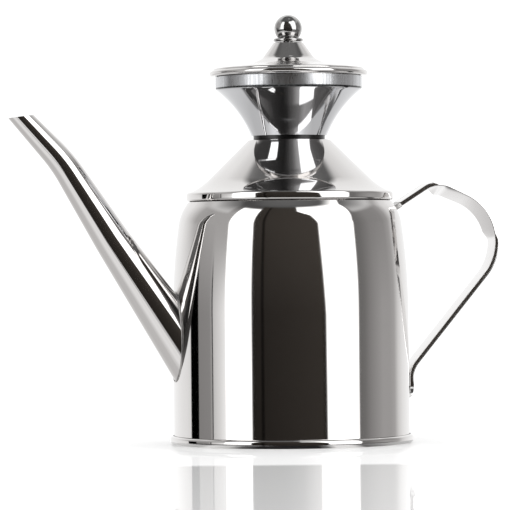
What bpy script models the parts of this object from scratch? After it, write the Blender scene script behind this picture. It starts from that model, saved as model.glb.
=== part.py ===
"""Stainless steel oil dispenser: ogive body, slanted spout, strip handle, filling funnel and lift-off lid.

The origin is the centre of the base at table level. +Z is up, the spout points to -X and the
handle to +X. Sizes are in metres; slopes, twists, the lip's tilt and sharp angles are in degrees.
"""
import math

import bmesh
import bpy
from mathutils import Matrix, Vector

# Sheet and joints
SHEET = 0.0006
FOLD_ROUND = 1.5 * SHEET
JOINT_GAP = 0.0003
SEAT_CLEARANCE = 0.0005
CUTTER_OVERRUN = 0.0050

# Fineness of the facets
BODY_SIDES = 48
LID_SIDES = 36
SMALL_SIDES = 24
BALL_STEPS = 12
CHORD_SAG = 0.00008
SHARP_ANGLE = 35.0
STRIP_SHARP_ANGLE = 50.0

# Base pan
BEAD_HEIGHT = 0.0037
BEAD_PROUD = 0.0015
PAN_RECESS = 0.0008
PAN_STEP_WIDTH = 0.0011
PAN_STEP_INSET = 0.0010

# Body wall
WALL_RADIUS = 0.0485
WALL_HEIGHT = 0.0994
MOUTH_INSET = 0.0065
BARREL_FALL = 0.0277
BARREL_ROUND = 0.260
CREST_FALL = 0.0051
CREST_SPREAD = 0.0033
CREST_ROUND = 0.018

# Shoulder
PLUG_DEPTH = 0.0030
SEAM_HEIGHT = 0.0037
SEAM_PROUD = 0.0005
SEAM_ROUND = 0.0011
SHOULDER_HEIGHT = 0.0257
FLARE_RISE = 0.0062
FLARE_INSET = 0.0056
FLARE_ROUND = 0.026
CREASE_INSET = 0.0013
CONE_EDGE_SPREAD = 0.0014
CONE_EDGE_FALL = 0.0004

# Neck and funnel
NECK_RADIUS = 0.0156
NECK_GROOVE = 0.0014
SLEEVE_DEPTH = 0.0052
FUNNEL_RADIUS = 0.0301
FUNNEL_HEIGHT = 0.0242
COLLAR_HEIGHT = 0.0050
FUNNEL_WAIST_WIDTH = 0.0043
FUNNEL_WAIST_RISE = 0.0106
FUNNEL_ROUND = 0.045
COLLAR_ROUND = 0.0020

# Lid
RIM_PROUD = 0.0025
RIM_HEIGHT = 0.0023
FLANGE_INSET = 0.0017
FLANGE_RISE = 0.0032
DISH_RADIUS = 0.0158
DISH_RISE = 0.0051
DISH_ROUND = 0.012
BELL_FOOT_RADIUS = 0.0108
BELL_FOOT_RISE = 0.0073
BELL_FOOT_ROUND = 0.004
CROWN_RADIUS = 0.0061
CROWN_RISE = 0.0139
SKIRT_DEPTH = 0.0038
SKIRT_FLANGE = 0.0050

# Knob and its screw
BALL_RADIUS = 0.0057
BALL_LIFT = 0.0054
KNOB_COLLAR_RADIUS = 0.0061
KNOB_COLLAR_HEIGHT = 0.0014
KNOB_BORE_DEPTH = 0.0060
SCREW_RADIUS = 0.0019
SCREW_HEAD_RADIUS = 0.0035
SCREW_HEAD_HEIGHT = 0.0022
SCREW_HEAD_ROUND = 0.0013
SLOT_WIDTH = 0.0010
SLOT_DEPTH = 0.0010
WASHER_RADIUS = 0.0045
WASHER_THICKNESS = 0.0008

# Spout
SPOUT_SHEET = 0.0008
SPOUT_ROOT_HEIGHT = 0.0459
SPOUT_ROOT_WIDTH = 0.0201
SPOUT_NECK_WIDTH = 0.0148
SPOUT_TIP_WIDTH = 0.0085
SPOUT_ROOT_RUN = 0.0459
SPOUT_MIDDLE_RUN = 0.0379
SPOUT_TIP_RUN = 0.0252
SPOUT_ROOT_SLOPE = 56.1
SPOUT_MIDDLE_SLOPE = 57.8
SPOUT_TIP_SLOPE = 47.2
SPOUT_BEND_ROUND = 0.070
SPOUT_LIP_TILT = 7.0
SPOUT_REACH_IN = 0.020
SEAM_WIDTH = 0.0006
SEAM_RISE = 0.0007

# Handle
STRIP_WIDTH = 0.0120
STRIP_THICKNESS = 0.0018
STRIP_EDGE = 0.0003
STRIP_STEP = 0.0040
TAB_BOTTOM = 0.0195
TAB_TOP = 0.0300
TAB_CORNER = 0.0040
TAB_BEND_ROUND = 0.010
HANDLE_REACH = 0.0382
BOW_LOW_FALL = 0.0248
BOW_HIGH_FALL = 0.0032
BOW_ROUND = 0.0229
CROWN_OUT = 0.0180
CROWN_LIFT = 0.0087
CROWN_ROUND = 0.0112
HANDLE_TOP_FALL = 0.0027
TWIST_LOW = 8.0
TWIST_HIGH = 19.0
TWIST_RUN = 0.0050
WELD_LENGTH = 0.0012
FOOT_WELD_DROP = 0.0018

# Radii that follow from each other
MOUTH_RADIUS = WALL_RADIUS - MOUTH_INSET
RIM_RADIUS = FUNNEL_RADIUS + RIM_PROUD
FLANGE_RADIUS = RIM_RADIUS - FLANGE_INSET

# Heights that stack on each other
MOUTH = WALL_HEIGHT
SEAM_BOTTOM = MOUTH + JOINT_GAP
SEAM_TOP = SEAM_BOTTOM + SEAM_HEIGHT
NECK_TOP = MOUTH + SHOULDER_HEIGHT
FUNNEL_BOTTOM = NECK_TOP + NECK_GROOVE
FUNNEL_TOP = FUNNEL_BOTTOM + FUNNEL_HEIGHT
LID_SEAT = FUNNEL_TOP + JOINT_GAP
CROWN_TOP = LID_SEAT + CROWN_RISE
KNOB_BOTTOM = CROWN_TOP + JOINT_GAP


def rounded(corners):
    """Outline through corners (x, z, radius), each inner corner turned into an arc of chords.

    Two arcs that would meet on the stretch between their corners are both drawn in to fit it.
    """
    places = [Vector(corner[:2]) for corner in corners]
    lengths = [(high - low).length for low, high in zip(places, places[1:])]
    turns = [0.0] * len(places)
    for index in range(1, len(places) - 1):
        ways = places[index] - places[index - 1], places[index + 1] - places[index]
        turns[index] = ways[0].angle(ways[1])
    tangents = [corner[2] * math.tan(turn / 2) for corner, turn in zip(corners, turns)]
    fits = [min(1.0, length / max(low + high, 1e-9))
            for length, low, high in zip(lengths, tangents, tangents[1:])]
    points = [places[0]]
    for index in range(1, len(places) - 1):
        corner, turn = places[index], turns[index]
        tangent = tangents[index] * min(fits[index - 1], fits[index])
        if tangent < 1e-6:
            points.append(corner)
            continue
        radius = tangent / math.tan(turn / 2)
        back = (places[index - 1] - corner).normalized()
        ahead = (places[index + 1] - corner).normalized()
        centre = corner + (back + ahead).normalized() * (radius / math.cos(turn / 2))
        spoke = corner + back * tangent - centre
        chord_turn = 2 * math.acos(1 - min(CHORD_SAG / radius, 0.5))
        chords = max(1, math.ceil(turn / chord_turn))
        side = math.copysign(1.0, ahead.cross(back))
        for step in range(chords + 1):
            points.append(centre + Matrix.Rotation(side * turn * step / chords, 2) @ spoke)
    points.append(places[-1])
    return without_repeats(points)


def without_repeats(points):
    kept = [points[0]]
    for point in points[1:]:
        if (point - kept[-1]).length > 1e-6:
            kept.append(point)
    return kept


def moved_aside(path, distance):
    """The path moved to its left by a distance, with mitred corners."""
    aside = []
    for index, point in enumerate(path):
        before = path[max(index - 1, 0)]
        after = path[min(index + 1, len(path) - 1)]
        first = (point - before) if index else (after - point)
        second = (after - point) if index < len(path) - 1 else first
        normals = [Vector((-way.y, way.x)).normalized() for way in (first, second)]
        middle = (normals[0] + normals[1]).normalized()
        aside.append(point + middle * (distance / middle.dot(normals[0])))
    return aside


def sheet_section(path, thickness):
    """Closed section of a sheet whose outer face follows the path, with the metal on its left."""
    return path + moved_aside(path, thickness)[::-1]


def link(name, mesh, material, sharp_angle=SHARP_ANGLE):
    obj = bpy.data.objects.new(name, mesh)
    bpy.context.scene.collection.objects.link(obj)
    if material:
        mesh.materials.append(material)
    mesh.shade_smooth()
    mesh.set_sharp_from_angle(angle=math.radians(sharp_angle))
    return obj


def closed_mesh(name, bm):
    bmesh.ops.remove_doubles(bm, verts=bm.verts, dist=1e-6)
    bmesh.ops.recalc_face_normals(bm, faces=bm.faces)
    mesh = bpy.data.meshes.new(name)
    bm.to_mesh(mesh)
    bm.free()
    return mesh


def turned(name, section, material, sides=BODY_SIDES):
    """Solid of revolution about Z from a section (radius, height), which may start and end on the axis."""
    bm = bmesh.new()
    verts = [bm.verts.new((point[0], 0.0, point[1])) for point in section]
    edges = [bm.edges.new(pair) for pair in zip(verts, verts[1:])]
    if section[0][0] > 1e-6 or section[-1][0] > 1e-6:
        edges.append(bm.edges.new((verts[-1], verts[0])))
    bmesh.ops.spin(bm, geom=verts + edges, cent=(0, 0, 0), axis=(0, 0, 1),
                   angle=2 * math.pi, steps=sides, use_merge=True)
    return link(name, closed_mesh(name, bm), material)


def cut(obj, cutter, operation="DIFFERENCE"):
    boolean = obj.modifiers.new(cutter.name, "BOOLEAN")
    boolean.operation = operation
    boolean.object = cutter
    boolean.solver = "EXACT"


def guide(obj):
    obj.hide_render = True
    obj.display_type = "WIRE"
    return obj


def metal(name, colour, roughness):
    material = bpy.data.materials.new(name)
    material.use_nodes = True
    shader = material.node_tree.nodes["Principled BSDF"]
    shader.inputs["Base Color"].default_value = (*colour, 1.0)
    shader.inputs["Metallic"].default_value = 1.0
    shader.inputs["Roughness"].default_value = roughness
    material.diffuse_color = (*colour, 1.0)
    return material


def wall_path():
    """Outer face of the body wall, from its foot to the mouth."""
    foot = SHEET + JOINT_GAP
    return rounded([
        (WALL_RADIUS, foot, 0),
        (WALL_RADIUS, MOUTH - BARREL_FALL, BARREL_ROUND),
        (MOUTH_RADIUS + CREST_SPREAD, MOUTH - CREST_FALL, CREST_ROUND),
        (MOUTH_RADIUS, MOUTH, 0),
    ])


def wall_radius_at(height):
    path = wall_path()
    for low, high in zip(path, path[1:]):
        if low.y <= height <= high.y:
            return low.x + (high.x - low.x) * (height - low.y) / (high.y - low.y)
    return WALL_RADIUS


def mouth_inner_radius():
    """Inside radius of the wall's sheet at the mouth, where the wall leans inwards."""
    return moved_aside(wall_path(), SHEET)[-1].x


def wall_envelope(name, clearance):
    """Guide solid: everything inside the wall's outer face, grown by a clearance."""
    side = moved_aside(wall_path(), -clearance)
    section = [Vector((0, -CUTTER_OVERRUN)), Vector((side[0].x, -CUTTER_OVERRUN)), *side,
               Vector((0, side[-1].y))]
    return guide(turned(name, section, None))


def make_base_pan(material):
    bead_radius = WALL_RADIUS + BEAD_PROUD
    bead_round = BEAD_HEIGHT / 2
    step_foot = WALL_RADIUS - SHEET - PAN_STEP_INSET
    lip = WALL_RADIUS + JOINT_GAP
    under = rounded([
        (0, PAN_RECESS, 0),
        (step_foot - PAN_STEP_WIDTH, PAN_RECESS, FOLD_ROUND),
        (step_foot, 0, FOLD_ROUND),
        (bead_radius, 0, bead_round),
        (bead_radius, BEAD_HEIGHT, bead_round),
        (lip, BEAD_HEIGHT, 0),
    ])
    section = sheet_section(under, SHEET)
    section[-1].x = 0
    return turned("base_pan", section, material)


def make_body_wall(material):
    return turned("body_wall", sheet_section(wall_path(), SHEET), material)


def make_shoulder(material):
    plug = mouth_inner_radius() - JOINT_GAP
    seam_radius = MOUTH_RADIUS + SEAM_PROUD
    outside = rounded([
        (plug, MOUTH - PLUG_DEPTH, 0),
        (plug, SEAM_BOTTOM, JOINT_GAP),
        (seam_radius, SEAM_BOTTOM, SEAM_ROUND),
        (seam_radius, SEAM_TOP, SEAM_ROUND),
        (seam_radius - CREASE_INSET, SEAM_TOP, JOINT_GAP),
        (MOUTH_RADIUS - FLARE_INSET, MOUTH + FLARE_RISE, FLARE_ROUND),
        (NECK_RADIUS + CONE_EDGE_SPREAD, NECK_TOP - CONE_EDGE_FALL, FOLD_ROUND),
        (NECK_RADIUS - SHEET + JOINT_GAP / 2, NECK_TOP, 0),
    ])
    return turned("shoulder_cone", sheet_section(outside, SHEET), material)


def make_neck_sleeve(material):
    outer = NECK_RADIUS - SHEET - JOINT_GAP
    path = [Vector((outer, NECK_TOP - SLEEVE_DEPTH)), Vector((outer, FUNNEL_BOTTOM + SLEEVE_DEPTH))]
    return turned("neck_sleeve", sheet_section(path, SHEET), material, LID_SIDES)


def make_funnel(material):
    outside = rounded([
        (NECK_RADIUS, FUNNEL_BOTTOM, 0),
        (NECK_RADIUS + FUNNEL_WAIST_WIDTH, FUNNEL_BOTTOM + FUNNEL_WAIST_RISE, FUNNEL_ROUND),
        (FUNNEL_RADIUS, FUNNEL_TOP - COLLAR_HEIGHT, COLLAR_ROUND),
        (FUNNEL_RADIUS, FUNNEL_TOP, 0),
    ])
    return turned("filling_funnel", sheet_section(outside, SHEET), material, LID_SIDES)


def skirt_radius():
    return FUNNEL_RADIUS - SHEET - SEAT_CLEARANCE


def lid_path():
    """Outer face of the lid, from the inner edge of its hem round the rim to the screw hole."""
    rim_round = RIM_HEIGHT / 2
    rim_top = LID_SEAT + RIM_HEIGHT
    return rounded([
        (skirt_radius() + JOINT_GAP, LID_SEAT, 0),
        (RIM_RADIUS, LID_SEAT, rim_round),
        (RIM_RADIUS, rim_top, rim_round),
        (FLANGE_RADIUS + JOINT_GAP, rim_top, JOINT_GAP),
        (FLANGE_RADIUS, LID_SEAT + FLANGE_RISE, FOLD_ROUND),
        (DISH_RADIUS, LID_SEAT + DISH_RISE, DISH_ROUND),
        (BELL_FOOT_RADIUS, LID_SEAT + BELL_FOOT_RISE, BELL_FOOT_ROUND),
        (CROWN_RADIUS, CROWN_TOP, FOLD_ROUND),
        (SCREW_RADIUS + JOINT_GAP, CROWN_TOP, 0),
    ])


def make_lid_shell(material):
    return turned("lid_shell", sheet_section(lid_path(), SHEET), material, LID_SIDES)


def make_lid_skirt(material):
    """Plug ring under the lid, with a flange that lies along the underside of the lid."""
    slope = (DISH_RISE - FLANGE_RISE) / (FLANGE_RADIUS - DISH_RADIUS)
    drop = (SHEET + JOINT_GAP) * math.hypot(1, slope)
    ring = skirt_radius()

    def under_lid(radius):
        return LID_SEAT + FLANGE_RISE + (FLANGE_RADIUS - radius) * slope - drop

    path = rounded([
        (ring, FUNNEL_TOP - SKIRT_DEPTH, 0),
        (ring, under_lid(ring), FOLD_ROUND),
        (ring - SKIRT_FLANGE, under_lid(ring - SKIRT_FLANGE), 0),
    ])
    return turned("lid_skirt", sheet_section(path, SHEET), material, LID_SIDES)


def make_knob(material):
    """Turned knob: a ball on a round-edged collar, bored from below for the screw."""
    bore = SCREW_RADIUS + JOINT_GAP
    collar_top = KNOB_BOTTOM + KNOB_COLLAR_HEIGHT
    collar_round = KNOB_COLLAR_HEIGHT / 2
    centre = KNOB_BOTTOM + BALL_LIFT
    crease = math.sqrt(max(BALL_RADIUS ** 2 - (collar_top - centre) ** 2, 1e-8))
    collar = rounded([
        (bore, KNOB_BOTTOM, 0),
        (KNOB_COLLAR_RADIUS, KNOB_BOTTOM, collar_round),
        (KNOB_COLLAR_RADIUS, collar_top, collar_round),
        (crease, collar_top, 0),
    ])
    start = math.atan2(collar_top - centre, crease)
    ball = []
    for index in range(1, BALL_STEPS):
        angle = start + (math.pi / 2 - start) * index / BALL_STEPS
        ball.append(Vector((BALL_RADIUS * math.cos(angle), centre + BALL_RADIUS * math.sin(angle))))
    bore_top = KNOB_BOTTOM + KNOB_BORE_DEPTH
    section = [Vector((0, bore_top)), Vector((bore, bore_top)), *collar, *ball,
               Vector((0, centre + BALL_RADIUS))]
    return turned("knob", section, material, SMALL_SIDES)


def screw_seat():
    """Height of the screw head's bearing face, under the washer."""
    return CROWN_TOP - SHEET - JOINT_GAP - WASHER_THICKNESS - JOINT_GAP


def make_washer(material):
    top = CROWN_TOP - SHEET - JOINT_GAP
    hole = SCREW_RADIUS + JOINT_GAP
    section = [Vector((hole, top)), Vector((hole, top - WASHER_THICKNESS)),
               Vector((WASHER_RADIUS, top - WASHER_THICKNESS)), Vector((WASHER_RADIUS, top))]
    return turned("knob_washer", section, material, SMALL_SIDES)


def make_screw(material):
    seat = screw_seat()
    head_bottom = seat - SCREW_HEAD_HEIGHT
    tip = KNOB_BOTTOM + KNOB_BORE_DEPTH - JOINT_GAP
    head = rounded([
        (0, head_bottom, 0),
        (SCREW_HEAD_RADIUS, head_bottom, SCREW_HEAD_ROUND),
        (SCREW_HEAD_RADIUS, seat, 0),
    ])
    section = [*head, Vector((SCREW_RADIUS, seat)), Vector((SCREW_RADIUS, tip)), Vector((0, tip))]
    screw = turned("knob_screw", section, material, SMALL_SIDES)
    bm = bmesh.new()
    size = Matrix.Diagonal((3 * SCREW_HEAD_RADIUS, SLOT_WIDTH, 2 * SLOT_DEPTH, 1))
    bmesh.ops.create_cube(bm, size=1.0, matrix=Matrix.Translation((0, 0, head_bottom)) @ size)
    cut(screw, guide(link("screw_slot_cutter", closed_mesh("screw_slot_cutter", bm), None)))
    return screw


def spout_corners():
    """Corners of the spout's centre line in the XZ plane, from inside the body to past the lip."""
    way = [Vector((-math.cos(math.radians(slope)), math.sin(math.radians(slope))))
           for slope in (SPOUT_ROOT_SLOPE, SPOUT_MIDDLE_SLOPE, SPOUT_TIP_SLOPE)]
    root = Vector((-wall_radius_at(SPOUT_ROOT_HEIGHT), SPOUT_ROOT_HEIGHT))
    neck = root + way[0] * SPOUT_ROOT_RUN
    bend = neck + way[1] * SPOUT_MIDDLE_RUN
    lip = bend + way[2] * SPOUT_TIP_RUN
    return root, neck, bend, lip, way


def spout_radius_at(point):
    """Outside radius at a point of the centre line: one taper up to the neck, a finer one beyond."""
    root, neck, _, _, way = spout_corners()
    along = (point - neck).dot(way[0])
    root_taper = (SPOUT_ROOT_WIDTH - SPOUT_NECK_WIDTH) / 2 / SPOUT_ROOT_RUN
    tip_taper = (SPOUT_NECK_WIDTH - SPOUT_TIP_WIDTH) / 2 / (SPOUT_MIDDLE_RUN + SPOUT_TIP_RUN)
    return SPOUT_NECK_WIDTH / 2 - along * (root_taper if along < 0 else tip_taper)


def spout_loft(growth, reach_in, past_lip):
    """Mesh of a round tapered tube along the spout's centre line, its radius grown all over."""
    root, neck, bend, lip, way = spout_corners()
    start = root - way[0] * reach_in
    end = lip + way[2] * past_lip
    path = rounded([(*start, 0), (*neck, SPOUT_BEND_ROUND), (*bend, SPOUT_BEND_ROUND), (*end, 0)])
    path.insert(1, root)
    bm = bmesh.new()
    ring = None
    for index, point in enumerate(path):
        before = path[max(index - 1, 0)]
        after = path[min(index + 1, len(path) - 1)]
        ahead = Vector((after.x - before.x, 0, after.y - before.y)).normalized()
        side = Vector((0, 1, 0))
        frame = Matrix((side.cross(ahead), side, ahead)).transposed().to_4x4()
        place = Matrix.Translation((point.x, 0, point.y)) @ frame
        radius = spout_radius_at(point) + growth
        if ring is None:
            made = bmesh.ops.create_circle(bm, cap_ends=True, segments=SMALL_SIDES,
                                           radius=radius, matrix=place)
            ring = made["verts"]
        else:
            edges = {edge for vert in ring for edge in vert.link_edges
                     if edge.other_vert(vert) in ring}
            made = bmesh.ops.extrude_edge_only(bm, edges=list(edges))
            ring = [item for item in made["geom"] if isinstance(item, bmesh.types.BMVert)]
            move = place @ Matrix.Scale(radius / last_radius, 4) @ last_place.inverted()
            bmesh.ops.transform(bm, matrix=move, verts=ring)
        last_place, last_radius = place, radius
    bmesh.ops.holes_fill(bm, edges=[edge for edge in bm.edges if edge.is_boundary], sides=0)
    return bm


def trimmed_at_lip(bm):
    """The tube cut off by the plane of the pouring lip, nearly level."""
    lip = spout_corners()[3]
    tilt = math.radians(SPOUT_LIP_TILT)
    bmesh.ops.bisect_plane(bm, geom=bm.verts[:] + bm.edges[:] + bm.faces[:],
                           plane_co=(lip.x, 0, lip.y), plane_no=(-math.sin(tilt), 0, math.cos(tilt)),
                           clear_outer=True)
    bmesh.ops.holes_fill(bm, edges=[edge for edge in bm.edges if edge.is_boundary], sides=0)
    return bm


def make_spout(wall, material, seam_material):
    """Spout tube with the wall's hole in line with its bore, and the solder seam round its root."""
    past_lip = SPOUT_TIP_WIDTH
    cutter_reach = SPOUT_REACH_IN + CUTTER_OVERRUN
    bore_mesh = closed_mesh("spout_bore_cutter", spout_loft(-SPOUT_SHEET, cutter_reach, past_lip))
    bore = guide(link("spout_bore_cutter", bore_mesh, None))
    clear_mesh = closed_mesh("spout_clearance", spout_loft(JOINT_GAP, cutter_reach, 0))
    clear = guide(link("spout_clearance", clear_mesh, None))
    envelope = wall_envelope("wall_clearance", JOINT_GAP)
    seam_cover = wall_envelope("seam_cover", JOINT_GAP + SEAM_RISE)

    tube_mesh = closed_mesh("spout_tube", trimmed_at_lip(spout_loft(0, SPOUT_REACH_IN, past_lip)))
    tube = link("spout_tube", tube_mesh, material)
    cut(tube, bore)
    cut(tube, envelope)
    cut(wall, bore)

    seam_bm = spout_loft(JOINT_GAP + SEAM_WIDTH, SPOUT_REACH_IN, 0)
    seam = link("spout_solder_seam", closed_mesh("spout_solder_seam", seam_bm), seam_material)
    cut(seam, seam_cover, "INTERSECT")
    cut(seam, envelope)
    cut(seam, clear)
    return envelope


def strip_path():
    """Centre line of the handle strip in the XZ plane, from the foot of its tab to the top weld."""
    tab = WALL_RADIUS + JOINT_GAP + STRIP_THICKNESS / 2
    top_height = MOUTH - HANDLE_TOP_FALL
    crown = Vector((wall_radius_at(top_height) + CROWN_OUT, MOUTH + CROWN_LIFT))
    outer = WALL_RADIUS + HANDLE_REACH
    wall = Vector((wall_radius_at(top_height), top_height))
    ahead = (wall - crown).normalized()
    end = wall - ahead * (WELD_LENGTH + 2 * JOINT_GAP + STRIP_THICKNESS / 2)
    path = rounded([
        (tab, TAB_BOTTOM, 0),
        (tab, TAB_TOP, TAB_BEND_ROUND),
        (outer, MOUTH - BOW_LOW_FALL, BOW_ROUND),
        (outer, MOUTH - BOW_HIGH_FALL, BOW_ROUND),
        (crown.x, crown.y, CROWN_ROUND),
        (end.x, end.y, 0),
    ])
    return path, end, ahead


def prism(section, width):
    """Section in the XZ plane, extruded along Y to both sides of the middle plane."""
    bm = bmesh.new()
    verts = [bm.verts.new((point.x, -width / 2, point.y)) for point in section]
    face = bm.faces.new(verts)
    made = bmesh.ops.extrude_face_region(bm, geom=[face])
    moved = [item for item in made["geom"] if isinstance(item, bmesh.types.BMVert)]
    bmesh.ops.translate(bm, vec=(0, width, 0), verts=moved)
    bmesh.ops.recalc_face_normals(bm, faces=bm.faces)
    return bm


def strip_section():
    """Section of the strip with its long edges chamfered, as (across, outwards) pairs round the middle."""
    wide, thick = STRIP_WIDTH / 2, STRIP_THICKNESS / 2
    flat, upright = wide - STRIP_EDGE, thick - STRIP_EDGE
    quarter = [(wide, upright), (flat, thick)]
    half = quarter + [(-across, outwards) for across, outwards in quarter[::-1]]
    return half + [(-across, -outwards) for across, outwards in half]


def spread(points, step):
    """The line through points, with more points so that none are farther apart than a step."""
    filled = [points[0]]
    for low, high in zip(points, points[1:]):
        parts = max(1, math.ceil((high - low).length / step))
        filled += [low.lerp(high, part / parts) for part in range(1, parts + 1)]
    return filled


def eased(share):
    """0 up to a share of 0 and 1 from a share of 1, with a soft step between."""
    held = min(max(share, 0.0), 1.0)
    return held * held * (3 - 2 * held)


def strip_twists(path):
    """Turn of the strip about its near edge at each point, from its outermost point to its crown."""
    runs = [0.0]
    for low, high in zip(path, path[1:]):
        runs.append(runs[-1] + (high - low).length)
    outermost = runs[max(range(len(path)), key=lambda index: path[index].x)]
    crown = runs[max(range(len(path)), key=lambda index: path[index].y)]
    growth = (TWIST_HIGH - TWIST_LOW) / (crown - outermost)
    return [math.radians(TWIST_LOW + growth * (run - outermost)) * eased((run - outermost) / TWIST_RUN)
            * eased((crown - run) / TWIST_RUN + 1) for run in runs]


def make_handle(material):
    """Strip swept along its line, rounded off at the foot of its tab."""
    line, _, _ = strip_path()
    foot = [Vector((line[0].x, line[0].y + TAB_CORNER * (1 - math.cos(step * math.pi / 16))))
            for step in range(1, 8)]
    above = [point for point in line if point.y > TAB_BOTTOM + TAB_CORNER]
    path = [line[0], *foot, *spread(above, STRIP_STEP)]
    near = Vector((STRIP_WIDTH / 2, 0, 0))
    bm = bmesh.new()
    ring = [bm.verts.new((across, outwards, 0)) for across, outwards in strip_section()]
    bm.faces.new(ring)
    last_place = Matrix.Identity(4)
    for index, (point, twist) in enumerate(zip(path, strip_twists(path))):
        before = path[max(index - 1, 0)]
        after = path[min(index + 1, len(path) - 1)]
        ahead = Vector((after.x - before.x, 0, after.y - before.y)).normalized()
        side = Vector((0, -1, 0))
        frame = Matrix((side, ahead.cross(side), ahead)).transposed().to_4x4()
        rise = min(point.y - TAB_BOTTOM, TAB_CORNER) if index < len(path) / 2 else TAB_CORNER
        width = STRIP_WIDTH / 2 - TAB_CORNER + math.sqrt(TAB_CORNER ** 2 - (TAB_CORNER - rise) ** 2)
        turned_strip = (Matrix.Translation(near) @ Matrix.Rotation(twist, 4, "Z")
                        @ Matrix.Translation(-near) @ Matrix.Diagonal((2 * width / STRIP_WIDTH, 1, 1, 1)))
        place = Matrix.Translation((point.x, 0, point.y)) @ frame @ turned_strip
        if index:
            edges = {edge for vert in ring for edge in vert.link_edges if edge.other_vert(vert) in ring}
            made = bmesh.ops.extrude_edge_only(bm, edges=list(edges))
            ring = [item for item in made["geom"] if isinstance(item, bmesh.types.BMVert)]
        bmesh.ops.transform(bm, matrix=place @ last_place.inverted(), verts=ring)
        last_place = place
    bmesh.ops.holes_fill(bm, edges=[edge for edge in bm.edges if edge.is_boundary], sides=0)
    bmesh.ops.triangulate(bm, faces=bm.faces)
    return link("handle_strip", closed_mesh("handle_strip", bm), material, STRIP_SHARP_ANGLE)


def make_handle_welds(envelope, material):
    """Weld between the wall and the strip's upper end, and the fillet below the tab."""
    _, end, ahead = strip_path()
    across = Vector((-ahead.y, ahead.x)) * (STRIP_THICKNESS / 2 + JOINT_GAP / 2)
    near = end + ahead * JOINT_GAP
    far = end + ahead * (WELD_LENGTH + 3 * STRIP_THICKNESS)
    bm = prism([near - across, near + across, far + across, far - across],
               STRIP_WIDTH + SEAM_RISE)
    top = link("handle_top_weld", closed_mesh("handle_top_weld", bm), material)
    cut(top, envelope)

    inner = WALL_RADIUS + JOINT_GAP / 2
    outer = WALL_RADIUS + JOINT_GAP + STRIP_THICKNESS
    high = TAB_BOTTOM - JOINT_GAP
    section = [Vector((inner - STRIP_THICKNESS, high)),
               Vector((inner - STRIP_THICKNESS, high - FOOT_WELD_DROP)),
               Vector((inner + JOINT_GAP, high - FOOT_WELD_DROP)), Vector((outer, high - JOINT_GAP)),
               Vector((outer, high))]
    bm = prism(section, STRIP_WIDTH - 2 * TAB_CORNER)
    foot = link("handle_foot_weld", closed_mesh("handle_foot_weld", bm), material)
    cut(foot, envelope)


def make_lid_lift(pieces):
    """Empty on the lid's lifting axis, which carries every piece that comes off with the lid."""
    lift = bpy.data.objects.new("lid_lift", None)
    lift.location = (0, 0, LID_SEAT)
    bpy.context.scene.collection.objects.link(lift)
    for piece in pieces:
        piece.parent = lift
        piece.matrix_parent_inverse = Matrix.Translation((0, 0, -LID_SEAT))


def main():
    for obj in list(bpy.data.objects):
        bpy.data.objects.remove(obj)
    polished = metal("polished_steel", (0.80, 0.79, 0.78), 0.06)
    drawn = metal("drawn_steel", (0.74, 0.73, 0.72), 0.18)
    inner = metal("inner_steel", (0.70, 0.69, 0.68), 0.28)
    solder = metal("solder", (0.66, 0.65, 0.64), 0.30)
    fastener = metal("fastener_steel", (0.62, 0.62, 0.62), 0.32)

    make_base_pan(polished)
    wall = make_body_wall(polished)
    make_shoulder(polished)
    make_neck_sleeve(inner)
    make_funnel(drawn)
    envelope = make_spout(wall, polished, solder)
    make_handle(polished)
    make_handle_welds(envelope, solder)
    make_lid_lift([
        make_lid_shell(polished),
        make_lid_skirt(inner),
        make_knob(polished),
        make_washer(fastener),
        make_screw(fastener),
    ])


main()
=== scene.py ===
"""Finished pieces of a polished steel oil dispenser, laid over its packed construction model.

The frame has its origin at the centre of the base, +Z up, the spout to -X and the handle to +X.
Sizes are in metres and angles in radians unless a name says degrees.
"""
import math

import bmesh
import bpy
from bpy.props import FloatProperty, FloatVectorProperty, IntProperty, PointerProperty
from mathutils import Matrix, Vector


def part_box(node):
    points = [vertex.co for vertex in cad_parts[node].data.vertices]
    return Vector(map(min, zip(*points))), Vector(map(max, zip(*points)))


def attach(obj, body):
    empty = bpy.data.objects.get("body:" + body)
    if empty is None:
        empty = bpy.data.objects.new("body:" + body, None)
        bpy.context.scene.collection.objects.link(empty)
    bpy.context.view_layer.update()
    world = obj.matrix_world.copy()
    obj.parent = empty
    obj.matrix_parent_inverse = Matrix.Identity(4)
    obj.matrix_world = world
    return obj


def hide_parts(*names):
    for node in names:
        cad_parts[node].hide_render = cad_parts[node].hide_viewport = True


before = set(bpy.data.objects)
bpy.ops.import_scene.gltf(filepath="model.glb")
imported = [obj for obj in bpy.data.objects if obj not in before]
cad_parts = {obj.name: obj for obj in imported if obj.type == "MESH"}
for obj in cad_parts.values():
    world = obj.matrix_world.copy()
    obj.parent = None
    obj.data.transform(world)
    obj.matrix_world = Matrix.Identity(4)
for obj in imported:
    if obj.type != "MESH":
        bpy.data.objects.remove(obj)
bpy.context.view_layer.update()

bl_info = {
    "name": "Polished steel oil dispenser",
    "version": (1, 0, 0),
    "blender": (4, 5, 0),
    "location": "View3D > Sidebar > Oil dispenser",
    "description": "Builds the finished pieces of a polished steel oil dispenser and the studio round it",
    "category": "Add Mesh",
}

BORE_OVERRUN = 1.25  # how much farther than its tube the spout's bore starts behind the wall

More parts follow.
